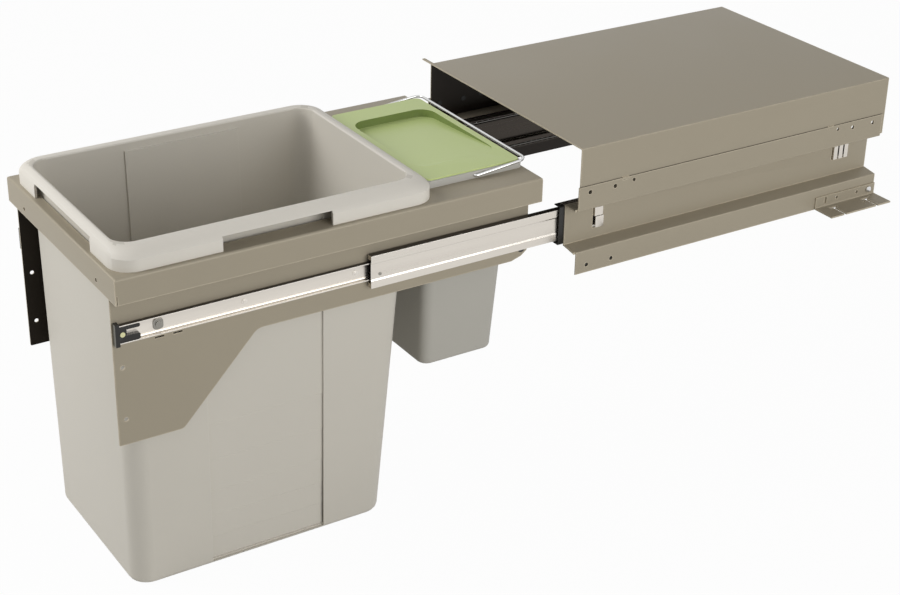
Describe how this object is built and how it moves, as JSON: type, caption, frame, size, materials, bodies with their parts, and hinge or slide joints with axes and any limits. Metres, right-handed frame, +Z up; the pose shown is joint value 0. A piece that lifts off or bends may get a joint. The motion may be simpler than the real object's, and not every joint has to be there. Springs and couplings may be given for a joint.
{
  "type": "pull-out waste bin unit",
  "caption": "Built-in pull-out waste bin unit: steel housing, telescopic slides, lift-out frame carrying a large open bin and a small bin with lid and bail, shown fully pulled out.",
  "frame": {"origin": "centre plane of the unit at the height of the slides' centre line, in line with the front pair of side screw holes", "axes": "+X to the right seen from the front, +Y to the rear along the slides, +Z up"},
  "size_m": [0.411, 1.078, 0.45],
  "materials": {
    "sheet": "satin metallic paint, champagne taupe",
    "frame": "satin metallic paint, champagne taupe",
    "zinc": "bright zinc plate, rolled",
    "steel": "plain rolled strip",
    "balls": "polished",
    "screw": "zinc plated",
    "cap": "black moulded plastic",
    "disc": "pale yellow-green moulded plastic",
    "buffer": "black",
    "front_bin": "warm light grey moulded plastic, fine texture",
    "rear_bin": "grey moulded plastic, fine texture",
    "lid": "soft green moulded plastic",
    "bail": "plated wire"
  },
  "bodies": {
    "housing": {"cover": "sheet", "right_side_profile": "sheet", "left_side_profile": "sheet", "right_fixed_member": "zinc", "left_fixed_member": "zinc", "right_rear_bracket": "sheet", "left_rear_bracket": "sheet", "bracket_screws": "screw"},
    "right_middle": {"right_middle_member": "zinc"},
    "left_middle": {"left_middle_member": "zinc"},
    "right_outer_race": {"right_outer_cage": "steel", "right_outer_balls": "balls"},
    "left_outer_race": {"left_outer_cage": "steel", "left_outer_balls": "balls"},
    "right_inner_race": {"right_inner_cage": "steel", "right_inner_balls": "balls"},
    "left_inner_race": {"left_inner_cage": "steel", "left_inner_balls": "balls"},
    "drawer": {"frame_top": "frame", "right_side_plate": "frame", "left_side_plate": "frame", "right_drawer_member": "zinc", "left_drawer_member": "zinc", "right_end_cap": "cap", "left_end_cap": "cap", "adjuster_discs": "disc", "rail_tabs": "screw", "rail_rivets": "screw", "rear_buffers": "buffer"},
    "front_bin_body": {"front_bin": "front_bin"},
    "rear_bin_body": {"rear_bin": "rear_bin"},
    "lid_body": {"lid": "lid"},
    "bail_body": {"bail": "bail"}
  },
  "joints": [
    {"name": "pull_out", "type": "slide", "parent": "housing", "child": "drawer", "axis": [0, -1, 0], "range_m": [-0.53, 0]},
    {"name": "right_middle_slide", "type": "slide", "parent": "housing", "child": "right_middle", "axis": [0, -1, 0], "range_m": [-0.265, 0]},
    {"name": "left_middle_slide", "type": "slide", "parent": "housing", "child": "left_middle", "axis": [0, -1, 0], "range_m": [-0.265, 0]},
    {"name": "right_outer_cage_slide", "type": "slide", "parent": "housing", "child": "right_outer_race", "axis": [0, -1, 0], "range_m": [-0.1325, 0]},
    {"name": "left_outer_cage_slide", "type": "slide", "parent": "housing", "child": "left_outer_race", "axis": [0, -1, 0], "range_m": [-0.1325, 0]},
    {"name": "right_inner_cage_slide", "type": "slide", "parent": "housing", "child": "right_inner_race", "axis": [0, -1, 0], "range_m": [-0.3975, 0]},
    {"name": "left_inner_cage_slide", "type": "slide", "parent": "housing", "child": "left_inner_race", "axis": [0, -1, 0], "range_m": [-0.3975, 0]},
    {"name": "front_bin_lift", "type": "slide", "parent": "drawer", "child": "front_bin_body", "axis": [0, 0, 1], "range_m": [0, 0.44]},
    {"name": "rear_bin_lift", "type": "slide", "parent": "drawer", "child": "rear_bin_body", "axis": [0, 0, 1], "range_m": [0, 0.27]},
    {"name": "lid_lift", "type": "slide", "parent": "rear_bin_body", "child": "lid_body", "axis": [0, 0, 1], "range_m": [0, 0.035]},
    {"name": "bail_swing", "type": "hinge", "parent": "rear_bin_body", "child": "bail_body", "pos_m": [0, -0.1311, 0.0787], "axis": [1, 0, 0], "range_deg": [0, 100]}
  ],
  "couplings": [
    {"joint": "right_middle_slide", "follows": "pull_out", "ratio": 0.5},
    {"joint": "left_middle_slide", "follows": "pull_out", "ratio": 0.5},
    {"joint": "right_outer_cage_slide", "follows": "pull_out", "ratio": 0.25},
    {"joint": "left_outer_cage_slide", "follows": "pull_out", "ratio": 0.25},
    {"joint": "right_inner_cage_slide", "follows": "pull_out", "ratio": 0.75},
    {"joint": "left_inner_cage_slide", "follows": "pull_out", "ratio": 0.75}
  ]
}
